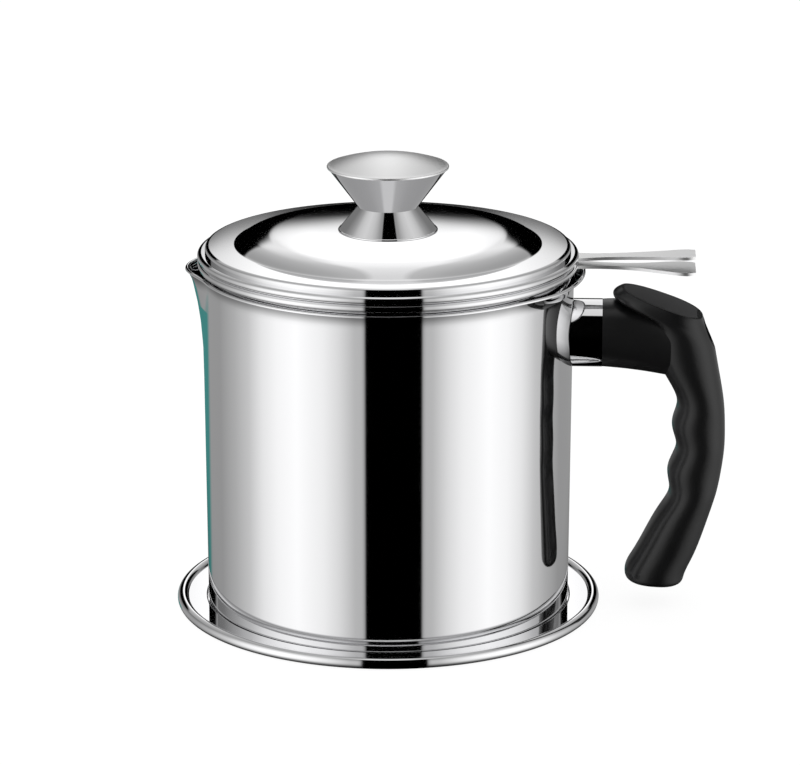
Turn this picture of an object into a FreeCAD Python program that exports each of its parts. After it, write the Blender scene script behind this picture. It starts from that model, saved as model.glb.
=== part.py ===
"""Stainless grease strainer pot with drip tray, two lift-out strainers, knobbed lid and moulded handle.

Frame: millimetres, +Z up. The origin is the centre of the tray's underside, the handle points
along +X and the pour spout along -X.
"""
import FreeCAD, Part
import Sketcher
import math
import os

# ---------------------------------------------------------------- driving dimensions

SIZES = {
    # drip tray
    "tray_rim_width": 8.8,
    "tray_sheet": 0.6,
    "tray_land_height": 3.0,
    "tray_bead_rise": 0.6,
    "tray_edge_round": 2.4,
    "tray_edge_hem": 1.0,
    "tray_seat_clearance": 0.9,
    # pot
    "pot_sheet": 0.6,
    "pot_base_radius": 59.5,
    "pot_top_radius": 60.2,
    "pot_corner_round": 2.0,
    "pot_height": 112.6,
    "rim_roll_radius": 0.7,
    "flare_height": 6.5,
    "flare_reach": 3.8,
    "spout_reach": 3.2,
    "spout_drop": 33.0,
    "spout_half_angle": 21.0,
    # strainers
    "strainer_sheet": 0.6,
    "seat_clearance": 0.1,
    "collar_clearance": 0.2,
    "nest_clearance": 0.4,
    "fine_rim_lift": 0.75,
    "fine_rim_overhang": 1.2,
    "fine_rim_height": 2.2,
    "fine_shoulder_width": 1.0,
    "fine_collar_depth": 14.0,
    "fine_basket_depth": 40.0,
    "fine_basket_taper": 8.8,
    "mesh_thickness": 0.5,
    "coarse_rim_overhang": 1.15,
    "coarse_rim_height": 2.6,
    "coarse_dish_depth": 16.0,
    "coarse_dish_taper": 4.8,
    "punched_hole_radius": 1.7,
    "punched_ring_pitch": 9.6,
    "tab_thickness": 1.0,
    "tab_length": 38.0,
    "tab_neck_width": 6.0,
    "fine_tab_tip_width": 15.0,
    "coarse_tab_tip_width": 10.5,
    "fine_tab_droop": 1.1,
    "coarse_tab_rise": 1.3,
    # lid
    "lid_sheet": 0.6,
    "lid_overhang": 0.1,
    "lid_hem_height": 3.2,
    "lid_bead_rise": 1.0,
    "lid_bead_width": 2.6,
    "lid_flange_width": 9.9,
    "lid_shoulder_rise": 6.0,
    "lid_foot_round": 2.2,
    "lid_dish_drop": 0.7,
    "lid_dish_run": 11.0,
    "lid_ring_depth": 5.0,
    # knob
    "knob_sheet": 0.8,
    "knob_base_radius": 16.4,
    "knob_waist_radius": 9.6,
    "knob_rim_radius": 19.7,
    "knob_base_height": 7.6,
    "knob_cup_height": 11.0,
    "knob_cap_edge": 2.6,
    "knob_crown": 3.0,
    "knob_screw_radius": 2.5,
    # handle
    "arm_drop": 20.3,
    "arm_radius": 11.0,
    "ferrule_wall": 0.8,
    "ferrule_length": 9.4,
    "stud_length": 6.0,
    "stud_pad": 1.6,
    "grip_reach": 40.5,
    "grip_foot_height": 7.4,
    "grip_half_width": 10.4,
    "grip_end_round": 2.6,
    "inlay_thickness": 1.2,
    "handle_screw_radius": 2.5,
    "handle_screw_grip": 25.5,
    "handle_screw_head": 2.6,
    "handle_washer": 1.0,
    "screw_clearance": 0.3,
}

doc = FreeCAD.newDocument("GreaseStrainerPot")
sheet = doc.addObject("Spreadsheet::Sheet", "Sizes")
for row, (alias, value) in enumerate(SIZES.items(), start=1):
    sheet.set(f"A{row}", alias.replace("_", " "))
    sheet.set(f"B{row}", str(value))
    sheet.setAlias(f"B{row}", alias)
doc.recompute()


class Length:
    """A length that knows both its value and the spreadsheet expression that gives it."""

    def __init__(self, value, text):
        self.value = value
        self.text = text

    def __add__(self, other):
        other = as_length(other)
        return Length(self.value + other.value, f"({self.text} + {other.text})")

    def __sub__(self, other):
        other = as_length(other)
        return Length(self.value - other.value, f"({self.text} - {other.text})")

    def __mul__(self, other):
        other = as_length(other)
        return Length(self.value * other.value, f"({self.text} * {other.text})")

    def __truediv__(self, other):
        other = as_length(other)
        return Length(self.value / other.value, f"({self.text} / {other.text})")

    def __neg__(self):
        return Length(-self.value, f"(-{self.text})")

    def root(self):
        return Length(math.sqrt(self.value), f"sqrt({self.text})")


def as_length(number):
    return number if isinstance(number, Length) else Length(float(number), repr(float(number)))


def size(alias):
    return Length(float(sheet.get(alias)), f"Sizes.{alias}")


# ---------------------------------------------------------------- helpers

def arc_centre(start, end, radius, turn):
    """Centre of the minor arc from start to end; turn is +1 for anticlockwise, -1 for clockwise."""
    middle = (start + end) * 0.5
    chord = end - start
    height = math.sqrt(max(radius ** 2 - (chord.Length / 2) ** 2, 0.0))
    sideways = FreeCAD.Vector(-chord.y, chord.x, 0).normalize()
    return middle + sideways * (height * turn)


def profile_sketch(body, name, outline):
    """A closed, fully dimensioned sketch on the body's XZ plane.

    Each entry of outline is (x, y) for a straight edge to that point, or (x, y, radius, turn) for an
    arc to it. The last entry leads back to the first point.
    """
    sketch = body.newObject("Sketcher::SketchObject", name)
    plane = next(item for item in body.Origin.OriginFeatures if item.Role == "XZ_Plane")
    sketch.AttachmentSupport = [(plane, "")]
    sketch.MapMode = "FlatFace"
    corners = [(as_length(step[0]), as_length(step[1])) for step in outline]
    points = [FreeCAD.Vector(x.value, y.value, 0) for x, y in corners]
    starts, ends = [], []
    for index, step in enumerate(outline):
        start, end = points[index - 1], points[index]
        if len(step) == 2:
            geometry = sketch.addGeometry(Part.LineSegment(start, end), False)
            starts.append((geometry, 1))
            ends.append((geometry, 2))
            continue
        radius, turn = as_length(step[2]), step[3]
        centre = arc_centre(start, end, radius.value, turn)
        first, last = (start, end) if turn > 0 else (end, start)
        angles = [math.atan2(p.y - centre.y, p.x - centre.x) for p in (first, last)]
        if angles[1] < angles[0]:
            angles[1] += 2 * math.pi
        circle = Part.Circle(centre, FreeCAD.Vector(0, 0, 1), radius.value)
        geometry = sketch.addGeometry(Part.ArcOfCircle(circle, *angles), False)
        starts.append((geometry, 1 if turn > 0 else 2))
        ends.append((geometry, 2 if turn > 0 else 1))
        constraint = sketch.addConstraint(Sketcher.Constraint("Radius", geometry, radius.value))
        sketch.setExpression(f"Constraints[{constraint}]", radius.text)
    for index, (x, y) in enumerate(corners):
        end = ends[index]
        following = starts[(index + 1) % len(outline)]
        sketch.addConstraint(Sketcher.Constraint("Coincident", *end, *following))
        for kind, axis, length in (("DistanceX", -2, x), ("DistanceY", -1, y)):
            if length.value == 0:
                sketch.addConstraint(Sketcher.Constraint("PointOnObject", *end, axis))
                continue
            constraint = sketch.addConstraint(Sketcher.Constraint(kind, -1, 1, *end, length.value))
            sketch.setExpression(f"Constraints[{constraint}]", length.text)
    return sketch


def turned_body(label, outline):
    """A body of revolution about the Z axis."""
    body = doc.addObject("PartDesign::Body", label)
    body.Label = label
    sketch = profile_sketch(body, f"{label}_profile", outline)
    turn = body.newObject("PartDesign::Revolution", f"{label}_turn")
    turn.Profile = sketch
    turn.ReferenceAxis = (sketch, ["V_Axis"])
    turn.Angle = 360
    body.Tip = turn
    doc.recompute()
    return body


def raise_to(item, height):
    item.Placement = FreeCAD.Placement(FreeCAD.Vector(0, 0, height.value), FreeCAD.Rotation())
    item.setExpression("Placement.Base.z", height.text)
    doc.recompute()
    return item


def bow_radius(half_span, rise):
    """Radius of the arc that rises by rise over half its span."""
    return (half_span * half_span + rise * rise) / (rise * 2)


def feature(label, shape):
    item = doc.addObject("Part::Feature", label)
    item.Label = label
    item.Shape = shape
    item.Placement = FreeCAD.Placement()
    return item


def closed_spline(points):
    curve = Part.BSplineCurve()
    curve.interpolate(points, PeriodicFlag=True)
    return Part.Wire([curve.toShape()])


# ---------------------------------------------------------------- levels of the stack

SEAT_HEIGHT = size("tray_sheet")
POT_TOP = SEAT_HEIGHT + size("pot_height")
MOUTH_TOP = POT_TOP - size("rim_roll_radius")
FLARE_FOOT = MOUTH_TOP - size("flare_height")
ARM_HEIGHT = MOUTH_TOP - size("arm_drop")
FINE_FOOT = POT_TOP + size("fine_rim_lift")
FINE_TOP = FINE_FOOT + size("fine_rim_height")
COARSE_TOP = FINE_TOP + size("coarse_rim_height")
LID_FOOT = COARSE_TOP
LID_HEM_TOP = LID_FOOT + size("lid_hem_height")
LID_FLANGE = LID_HEM_TOP - size("lid_bead_rise")
LID_CREST = LID_FLANGE + size("lid_shoulder_rise")
LID_CENTRE = LID_CREST - size("lid_dish_drop")

# ---------------------------------------------------------------- radii that nest in each other

FLARE_BEND = bow_radius(size("flare_height"), size("flare_reach"))
FINE_RIM = size("pot_top_radius") + size("fine_rim_overhang")
FINE_COLLAR = size("pot_top_radius") - size("pot_sheet") - size("collar_clearance")
FINE_SHOULDER = FINE_COLLAR + size("fine_shoulder_width")
COARSE_RIM = size("pot_top_radius") + size("coarse_rim_overhang")
COARSE_WALL = FINE_COLLAR - size("strainer_sheet") * 2 - size("mesh_thickness") - size("nest_clearance")
LID_RADIUS = size("pot_top_radius") + size("lid_overhang")


# ---------------------------------------------------------------- drip tray

def make_drip_tray():
    """Pressed tray: a sunk seat for the pot, a flat land and an edge that curls down to the counter."""
    t = size("tray_sheet")
    land = size("tray_land_height")
    bead = land + size("tray_bead_rise")
    curl, hem = size("tray_edge_round"), size("tray_edge_hem")
    seat = size("pot_base_radius") + size("tray_seat_clearance")
    radius = seat + t + size("tray_rim_width")
    return turned_body("drip_tray", [
        (0, 0),
        (seat, 0),
        (seat + t, t, t, 1),
        (seat + t, land - t),
        (radius - curl * 1.5, land - t),
        (radius - curl, bead - hem),
        (radius - hem, bead - curl, curl - hem, -1),
        (radius - hem, 0),
        (radius - hem * 0.5, 0),
        (radius, hem * 0.5, hem * 0.5, 1),
        (radius, bead - curl),
        (radius - curl, bead, curl, 1),
        (radius - curl * 1.4, bead),
        (radius - curl * 1.8, land),
        (seat + t, land),
        (seat, land - t, t, 1),
        (seat, t),
        (0, t),
    ])


# ---------------------------------------------------------------- pot

def wall_radius(height, depth=0.0):
    """Radius of the pot wall at a height, without the spout, at a depth below its outer face."""
    base, top = size("pot_base_radius").value, size("pot_top_radius").value
    low, foot = SEAT_HEIGHT.value + size("pot_corner_round").value, FLARE_FOOT.value
    if height <= foot:
        return base + (top - base) * (height - low) / (foot - low) - depth
    bend = FLARE_BEND.value
    return top + bend - math.sqrt((bend + depth) ** 2 - (height - foot) ** 2)


def spout_share(height, angle):
    """How much of the spout is there at a height and at an angle in degrees from -X, from 0 to 1."""
    drop = size("spout_drop").value
    share = (height - (MOUTH_TOP.value - drop)) / drop
    half_angle = size("spout_half_angle").value * (0.55 + 0.45 * share)
    if share <= 0 or abs(angle) >= half_angle:
        return 0.0
    return share ** 2 * (3 - 2 * share) * (1 + math.cos(math.pi * angle / half_angle)) / 2


def wall_section(height, depth=0.0, outset=0.0):
    """Closed outline of the wall at one height, with close points where the spout is."""
    fine_steps = [step * 3.0 for step in range(-9, 10)]
    coarse_steps = [27.0 + (306.0 / 34) * step for step in range(1, 34)]
    within = min(height, MOUTH_TOP.value)
    plain = wall_radius(within, depth)
    flare = wall_radius(within) - wall_radius(min(within, FLARE_FOOT.value))
    points = []
    for angle in fine_steps + coarse_steps:
        signed = angle if angle <= 180 else angle - 360
        share = spout_share(within, signed)
        radius = plain + share * (size("spout_reach").value - flare / 2) + outset
        turn = math.radians(180 + angle)
        points.append(FreeCAD.Vector(radius * math.cos(turn), radius * math.sin(turn), height))
    return closed_spline(points)


def ring_between(outer_wires, inner_wires):
    return Part.makeLoft(outer_wires, True).cut(Part.makeLoft(inner_wires, True))


def make_pot_body():
    """Deep-drawn pot: a drafted cup, a mouth that flares and has a pour spout, and a rolled rim."""
    t, roll = size("pot_sheet").value, size("rim_roll_radius").value
    corner = size("pot_corner_round").value
    floor_height = SEAT_HEIGHT.value
    mouth_foot = MOUTH_TOP.value - size("spout_drop").value
    base = size("pot_base_radius").value
    neck = wall_radius(mouth_foot)
    points = {
        "axis_low": (0, floor_height),
        "floor_edge": (base - corner, floor_height),
        "corner_mid": (base - corner * (1 - math.sin(math.pi / 4)),
                       floor_height + corner * (1 - math.sin(math.pi / 4))),
        "wall_low": (base, floor_height + corner),
        "wall_high": (neck, mouth_foot),
        "inner_high": (neck - t, mouth_foot),
        "inner_low": (base - t, floor_height + corner),
        "inner_mid": (base - corner + (corner - t) * math.sin(math.pi / 4),
                      floor_height + corner - (corner - t) * math.sin(math.pi / 4)),
        "inner_edge": (base - corner, floor_height + t),
        "axis_high": (0, floor_height + t),
    }
    at = {name: FreeCAD.Vector(r, 0, z) for name, (r, z) in points.items()}
    cup_profile = Part.Wire([
        Part.LineSegment(at["axis_low"], at["floor_edge"]).toShape(),
        Part.Arc(at["floor_edge"], at["corner_mid"], at["wall_low"]).toShape(),
        Part.LineSegment(at["wall_low"], at["wall_high"]).toShape(),
        Part.LineSegment(at["wall_high"], at["inner_high"]).toShape(),
        Part.LineSegment(at["inner_high"], at["inner_low"]).toShape(),
        Part.Arc(at["inner_low"], at["inner_mid"], at["inner_edge"]).toShape(),
        Part.LineSegment(at["inner_edge"], at["axis_high"]).toShape(),
        Part.LineSegment(at["axis_high"], at["axis_low"]).toShape(),
    ])
    cup = Part.Face(cup_profile).revolve(FreeCAD.Vector(), FreeCAD.Vector(0, 0, 1), 360)
    neck_shares = (0.0, 0.3, 0.55, 0.8)
    flare_shares = (0.0, 0.25, 0.5, 0.75, 1.0)
    heights = [mouth_foot + share * (FLARE_FOOT.value - mouth_foot) for share in neck_shares]
    heights += [FLARE_FOOT.value + share * size("flare_height").value for share in flare_shares]
    mouth = ring_between([wall_section(height) for height in heights],
                         [wall_section(height, depth=t) for height in heights])
    rim_line = (wall_radius(MOUTH_TOP.value) - wall_radius(MOUTH_TOP.value, t)) / 2
    roll_steps = [math.radians(angle) for angle in (-65, -30, 0, 30, 65)]
    rim = ring_between(
        [wall_section(MOUTH_TOP.value + roll * math.sin(step), outset=roll * math.cos(step) - rim_line)
         for step in roll_steps],
        [wall_section(MOUTH_TOP.value + roll * math.sin(step), outset=-roll * math.cos(step) - rim_line)
         for step in roll_steps])
    shape = cup.fuse([mouth], 0.001).fuse(rim)
    return feature("pot_body", shape.removeSplitter())


# ---------------------------------------------------------------- strainers

def rim_outline(radius, inner, foot, top, t):
    """The outline steps of a turned-down strainer edge, from its inner foot round to the top's inner end."""
    return [
        (radius - t, foot),
        (radius, foot),
        (radius, top - t),
        (radius - t, top, t, 1),
        (inner, top),
    ]


def make_fine_strainer():
    """Rim with a shoulder that sits in the pot's flare, and a mesh basket clamped in its collar."""
    t, mesh = size("strainer_sheet"), size("mesh_thickness")
    collar, shoulder = FINE_COLLAR, FINE_SHOULDER
    collar_foot = FINE_TOP - size("fine_collar_depth")
    reach = FLARE_BEND + size("pot_sheet") + size("seat_clearance")
    run = size("pot_top_radius") + FLARE_BEND - shoulder
    seat = FLARE_FOOT + (reach * reach - run * run).root()
    step = size("fine_shoulder_width")
    turned_body("fine_strainer_rim", [
        (collar - t, collar_foot),
        (collar, collar_foot),
        (collar, seat - step * 2),
        (shoulder, seat),
        (shoulder, FINE_TOP - t),
        (FINE_RIM - t, FINE_TOP - t),
    ] + rim_outline(FINE_RIM, shoulder - t, FINE_FOOT, FINE_TOP, t) + [
        (shoulder - t, seat + t * 0.5),
        (collar - t, seat - step * 2 + t * 0.5),
    ])

    outer = collar - t
    inner = outer - mesh
    clamp_top = seat - step * 2
    floor_radius = outer - size("fine_basket_taper")
    floor_height = FINE_TOP - size("fine_basket_depth")
    bend = mesh * 8
    turned_body("fine_strainer_mesh", [
        (0, floor_height),
        (floor_radius - bend, floor_height),
        (floor_radius, floor_height + bend, bend, 1),
        (outer, collar_foot),
        (outer, clamp_top),
        (inner, clamp_top),
        (inner, collar_foot),
        (floor_radius - mesh, floor_height + bend),
        (floor_radius - bend, floor_height + mesh, bend - mesh, -1),
        (0, floor_height + mesh),
    ])
    turned_body("fine_strainer_band", [
        (inner - t, collar_foot),
        (inner, collar_foot),
        (inner, clamp_top),
        (inner - t, clamp_top),
    ])


def make_coarse_strainer():
    """Pressed dish with a turned-down edge; its floor is punched with rings of round holes."""
    t = size("strainer_sheet")
    wall = COARSE_WALL
    floor_radius = wall - size("coarse_dish_taper")
    floor_height = COARSE_TOP - size("coarse_dish_depth")
    bend = t * 4
    body = turned_body("coarse_strainer_dish", [
        (0, floor_height),
        (floor_radius - bend, floor_height),
        (floor_radius, floor_height + bend, bend, 1),
        (wall, COARSE_TOP - t),
        (COARSE_RIM - t, COARSE_TOP - t),
    ] + rim_outline(COARSE_RIM, wall - t, FINE_TOP, COARSE_TOP, t) + [
        (floor_radius - t, floor_height + bend),
        (floor_radius - bend, floor_height + t, bend - t, -1),
        (0, floor_height + t),
    ])
    return punch_holes(body, floor_radius, floor_height)


def punch_holes(body, floor_radius, floor_height):
    """Rings of round holes, each ring with six more holes than the one inside it."""
    sketch = body.newObject("Sketcher::SketchObject", "punched_holes")
    plane = next(item for item in body.Origin.OriginFeatures if item.Role == "XY_Plane")
    sketch.AttachmentSupport = [(plane, "")]
    sketch.MapMode = "FlatFace"
    sketch.AttachmentOffset = FreeCAD.Placement(FreeCAD.Vector(0, 0, floor_height.value), FreeCAD.Rotation())
    sketch.setExpression("AttachmentOffset.Base.z", floor_height.text)
    hole, pitch = size("punched_hole_radius"), size("punched_ring_pitch")
    rings = int((floor_radius.value - hole.value * 3) // pitch.value)
    for ring in range(rings + 1):
        count = max(1, 6 * ring)
        for index in range(count):
            angle = 2 * math.pi * index / count
            centre = FreeCAD.Vector(math.cos(angle), math.sin(angle), 0) * (pitch.value * ring)
            sketch.addGeometry(Part.Circle(centre, FreeCAD.Vector(0, 0, 1), hole.value), False)
    pocket = body.newObject("PartDesign::Pocket", "punched_pocket")
    pocket.Profile = sketch
    pocket.Reversed = True
    pocket.Length = (size("strainer_sheet") * 2).value
    pocket.setExpression("Length", (size("strainer_sheet") * 2).text)
    solid_volume = body.Shape.Volume
    body.Tip = pocket
    doc.recompute()
    if body.Shape.Volume >= solid_volume:
        raise RuntimeError("the punched holes cut nothing")
    return body


def make_tab(label, rim_radius, seat_height, tip_width, tip_rise):
    """A flat finger tab, welded to the rim's outer edge, narrow at the neck and wide at the tip."""
    t = size("tab_thickness").value
    neck = size("tab_neck_width").value / 2
    tip = tip_width.value / 2
    length = size("tab_length").value
    root = rim_radius.value
    plan = (
        (0.0, neck * 1.3), (0.12, neck), (0.5, neck * 1.08), (0.78, tip * 0.9), (0.95, tip), (1.0, tip * 0.86),
    )
    upper = [FreeCAD.Vector(root + length * share, half, 0) for share, half in plan]
    lower = [FreeCAD.Vector(point.x, -point.y, 0) for point in reversed(upper)]
    side = Part.BSplineCurve()
    side.interpolate(upper)
    other_side = Part.BSplineCurve()
    other_side.interpolate(lower)
    outline = Part.Wire([
        side.toShape(),
        Part.LineSegment(upper[-1], lower[0]).toShape(),
        other_side.toShape(),
        Part.LineSegment(lower[-1], upper[0]).toShape(),
    ])
    blade = Part.Face(outline).extrude(FreeCAD.Vector(0, 0, t))
    tilt = -math.degrees(math.atan2(tip_rise.value, length))
    blade.rotate(FreeCAD.Vector(root, 0, 0), FreeCAD.Vector(0, 1, 0), tilt)
    blade.translate(FreeCAD.Vector(0, 0, seat_height.value))
    edge = Part.makeCylinder(root, length, FreeCAD.Vector(0, 0, seat_height.value - length / 2))
    return feature(label, blade.cut(edge))


# ---------------------------------------------------------------- lid

LID_LEAN = math.radians(60.0)


def make_lid():
    """Spun lid: hemmed edge, flat flange, rounded shoulder and a top that dishes slightly to the knob."""
    t = size("lid_sheet")
    radius, bead = LID_RADIUS, size("lid_bead_width")
    hole = size("knob_screw_radius") + size("screw_clearance")
    foot = size("lid_foot_round")
    drop_share, run_share = 1 - math.cos(LID_LEAN), math.sin(LID_LEAN)
    shoulder = size("lid_shoulder_rise") / drop_share - foot
    start = radius - size("lid_flange_width")
    lean_r = start - foot * run_share
    lean_z = foot * drop_share
    crest_r = lean_r - shoulder * run_share
    run, drop = size("lid_dish_run"), size("lid_dish_drop")
    dish_bend = bow_radius(run, drop / 2) * 2
    hem = t * 1.7
    body = turned_body("lid_shell", [
        (hole, LID_CENTRE - t),
        (crest_r - run * 2, LID_CENTRE - t),
        (crest_r - run, LID_CENTRE + drop * 0.5 - t, dish_bend, 1),
        (crest_r, LID_CREST - t, dish_bend, -1),
        (lean_r, LID_FLANGE + lean_z - t, shoulder, -1),
        (start, LID_FLANGE - t, foot, 1),
        (radius - bead, LID_FLANGE - t),
        (radius - bead * 0.6, LID_HEM_TOP - t),
        (radius - hem, LID_HEM_TOP - t),
        (radius - t, LID_HEM_TOP - hem, hem - t, -1),
        (radius - t, LID_FOOT),
        (radius, LID_FOOT),
        (radius, LID_HEM_TOP - hem),
        (radius - hem, LID_HEM_TOP, hem, 1),
        (radius - bead * 0.6, LID_HEM_TOP),
        (radius - bead, LID_FLANGE),
        (start, LID_FLANGE),
        (lean_r, LID_FLANGE + lean_z, foot, -1),
        (crest_r, LID_CREST, shoulder, 1),
        (crest_r - run, LID_CENTRE + drop * 0.5, dish_bend, 1),
        (crest_r - run * 2, LID_CENTRE, dish_bend, -1),
        (hole, LID_CENTRE),
    ])
    ring_top = LID_FLANGE - t
    ring_foot = ring_top - size("lid_ring_depth")
    dish_sheet = size("strainer_sheet")
    dish_slope = size("coarse_dish_taper") / (size("coarse_dish_depth") - dish_sheet * 5)
    dip = COARSE_TOP - dish_sheet - ring_foot
    ring_radius = COARSE_WALL - dish_sheet - dish_slope * dip - size("nest_clearance")
    turned_body("lid_locating_ring", [
        (ring_radius - t, ring_foot),
        (ring_radius, ring_foot),
        (ring_radius, ring_top),
        (ring_radius - t, ring_top),
    ])
    return body


# ---------------------------------------------------------------- knob

def make_knob():
    """Hollow spun knob: a cone base, an upturned cup, a domed cap, and the screw and nut inside."""
    t = size("knob_sheet")
    hole = size("knob_screw_radius") + size("screw_clearance")
    base_foot = LID_CENTRE
    waist = base_foot + size("knob_base_height")
    base_r, waist_r = size("knob_base_radius"), size("knob_waist_radius")
    turned_body("knob_base", [
        (hole, waist - t),
        (waist_r - t, waist - t),
        (base_r - t * 2, base_foot + t),
        (base_r - t * 2, base_foot),
        (base_r - t * 0.5, base_foot),
        (base_r, base_foot + t * 0.5, t * 0.5, 1),
        (base_r, base_foot + t),
        (base_r - t * 0.5, base_foot + t * 1.5, t * 0.5, 1),
        (waist_r, waist),
        (hole, waist),
    ])
    cup_top = waist + size("knob_cup_height")
    rim_r = size("knob_rim_radius")
    turned_body("knob_cup", [
        (hole, waist),
        (waist_r - t * 0.5, waist),
        (waist_r, waist + t * 0.5, t * 0.5, 1),
        (rim_r - t * 1.2, cup_top),
        (rim_r - t * 2.4, cup_top),
        (waist_r - t * 1.2, waist + t),
        (hole, waist + t),
    ])
    edge, crown = size("knob_cap_edge"), size("knob_crown")
    run = rim_r - edge * 0.5
    shoulder = cup_top + edge
    turned_body("knob_cap", [
        (0, shoulder + crown - t),
        (run - t, shoulder - t, bow_radius(run - t, crown), -1),
        (run - t, cup_top + t),
        (rim_r - t * 2.4, cup_top),
        (rim_r - edge * 0.25, cup_top),
        (rim_r, cup_top + edge * 0.5, edge * 0.6, 1),
        (run, shoulder, edge * 0.75, 1),
        (0, shoulder + crown, bow_radius(run, crown), 1),
    ])
    make_knob_fasteners(waist + t)


def make_knob_fasteners(nut_foot):
    """The screw comes up through washer, lid and knob base, and its nut lies in the cup."""
    screw_r = size("knob_screw_radius")
    hole = screw_r + size("screw_clearance")
    washer_top = LID_CENTRE - size("lid_sheet")
    head_top = washer_top - size("knob_sheet")
    nut_height = screw_r * 1.6
    turned_body("knob_washer", [
        (hole, head_top),
        (screw_r * 2.8, head_top),
        (screw_r * 2.8, washer_top),
        (hole, washer_top),
    ])
    screw_end = nut_foot + nut_height + screw_r * 0.2
    turned_body("knob_screw", [
        (0, head_top - screw_r * 1.1),
        (screw_r * 1.2, head_top - screw_r * 1.1),
        (screw_r * 1.9, head_top, screw_r * 1.5, 1),
        (screw_r, head_top),
        (screw_r, screw_end),
        (0, screw_end),
    ])
    nut = doc.addObject("Part::Prism", "knob_nut_blank")
    nut.Polygon = 6
    nut.setExpression("Circumradius", (screw_r * 1.85).text)
    nut.setExpression("Height", nut_height.text)
    bore = doc.addObject("Part::Cylinder", "knob_nut_bore")
    bore.setExpression("Radius", screw_r.text)
    bore.setExpression("Height", nut_height.text)
    tapped = doc.addObject("Part::Cut", "knob_nut")
    tapped.Label = "knob_nut"
    tapped.Base = nut
    tapped.Tool = bore
    raise_to(tapped, nut_foot)


# ---------------------------------------------------------------- handle

def pot_envelope():
    """The space up to the outer face of the wall and its flare, which pieces on the wall are cut to."""
    low = SEAT_HEIGHT.value + size("pot_corner_round").value
    foot, top = FLARE_FOOT.value, MOUTH_TOP.value
    weld_gap = size("seat_clearance").value
    middle = (foot + top) / 2
    corners = [FreeCAD.Vector(wall_radius(z) + weld_gap, 0, z) for z in (low, foot, middle, top)]
    outline = Part.Wire([
        Part.LineSegment(FreeCAD.Vector(0, 0, low), corners[0]).toShape(),
        Part.LineSegment(corners[0], corners[1]).toShape(),
        Part.Arc(*corners[1:]).toShape(),
        Part.LineSegment(corners[3], FreeCAD.Vector(0, 0, top)).toShape(),
        Part.LineSegment(FreeCAD.Vector(0, 0, top), FreeCAD.Vector(0, 0, low)).toShape(),
    ])
    return Part.Face(outline).revolve(FreeCAD.Vector(), FreeCAD.Vector(0, 0, 1), 360)


def along_arm(radius, start, end):
    """A cylinder on the arm's axis between two distances from the pot's axis."""
    place = FreeCAD.Vector(start, 0, ARM_HEIGHT.value)
    return Part.makeCylinder(radius, end - start, place, FreeCAD.Vector(1, 0, 0))


def oval(centre, along, half_length, half_width, squareness=2.4, egg=0.0):
    """A closed rounded outline: along is its long direction, and its width lies along Y."""
    points = []
    count = 20
    for index in range(count):
        angle = 2 * math.pi * index / count
        c, s = math.cos(angle), math.sin(angle)
        u = math.copysign(abs(c) ** (2 / squareness), c) * half_length
        v = math.copysign(abs(s) ** (2 / squareness), s) * half_width * (1 + egg * c)
        points.append(centre + along * u + FreeCAD.Vector(0, v, 0))
    return closed_spline(points)


# Side outline of the grip from the thumb rest down: for each station its inner and its outer end,
# each as a share of the reach beyond the ferrule and a share of the height from foot to arm.
GRIP_STATIONS = (
    ((0.150, 1.185), (0.802, 1.073)),
    ((0.259, 1.099), (0.866, 1.007)),
    ((0.407, 0.962), (0.916, 0.922)),
    ((0.520, 0.833), (0.955, 0.825)),
    ((0.609, 0.724), (0.990, 0.721)),
    ((0.572, 0.644), (1.000, 0.642)),
    ((0.609, 0.561), (1.000, 0.560)),
    ((0.543, 0.460), (0.977, 0.458)),
    ((0.560, 0.380), (0.948, 0.382)),
    ((0.479, 0.300), (0.901, 0.302)),
    ((0.365, 0.200), (0.834, 0.200)),
    ((0.266, 0.111), (0.758, 0.104)),
    ((0.212, 0.044), (0.694, 0.030)),
)


def grip_point(share, ferrule_end):
    foot, arm = size("grip_foot_height").value, ARM_HEIGHT.value
    return FreeCAD.Vector(ferrule_end + share[0] * size("grip_reach").value, 0, foot + share[1] * (arm - foot))


def station_line(station, ferrule_end):
    """Middle, direction and half length of a station's line from its inner to its outer end."""
    inner, outer = (grip_point(share, ferrule_end) for share in station)
    return (inner + outer) * 0.5, (outer - inner).normalize(), (outer - inner).Length / 2


def grip_sections(ferrule_end):
    """Ovals down the grip, wider and egg-shaped at the thumb rest and rounded off at the foot."""
    width = size("grip_half_width").value
    sections = [thumb_rest_outline(ferrule_end, 0.0)]
    for station in GRIP_STATIONS[1:]:
        sections.append(oval(*station_line(station, ferrule_end), width))
    centre, along, half = station_line(GRIP_STATIONS[-1], ferrule_end)
    down = FreeCAD.Vector(0, 1, 0).cross(along)
    end = size("grip_end_round").value
    for turn in (0.5, 1.0, 1.35):
        shrink = end * (1 - math.cos(turn))
        sections.append(oval(centre + down * (end * math.sin(turn)), along, half - shrink, width - shrink))
    return sections


def thumb_rest_outline(ferrule_end, shrink):
    centre, along, half = station_line(GRIP_STATIONS[0], ferrule_end)
    width = size("grip_half_width").value * 1.06
    return oval(centre, along, half - shrink, width - shrink, egg=0.14)


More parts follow.
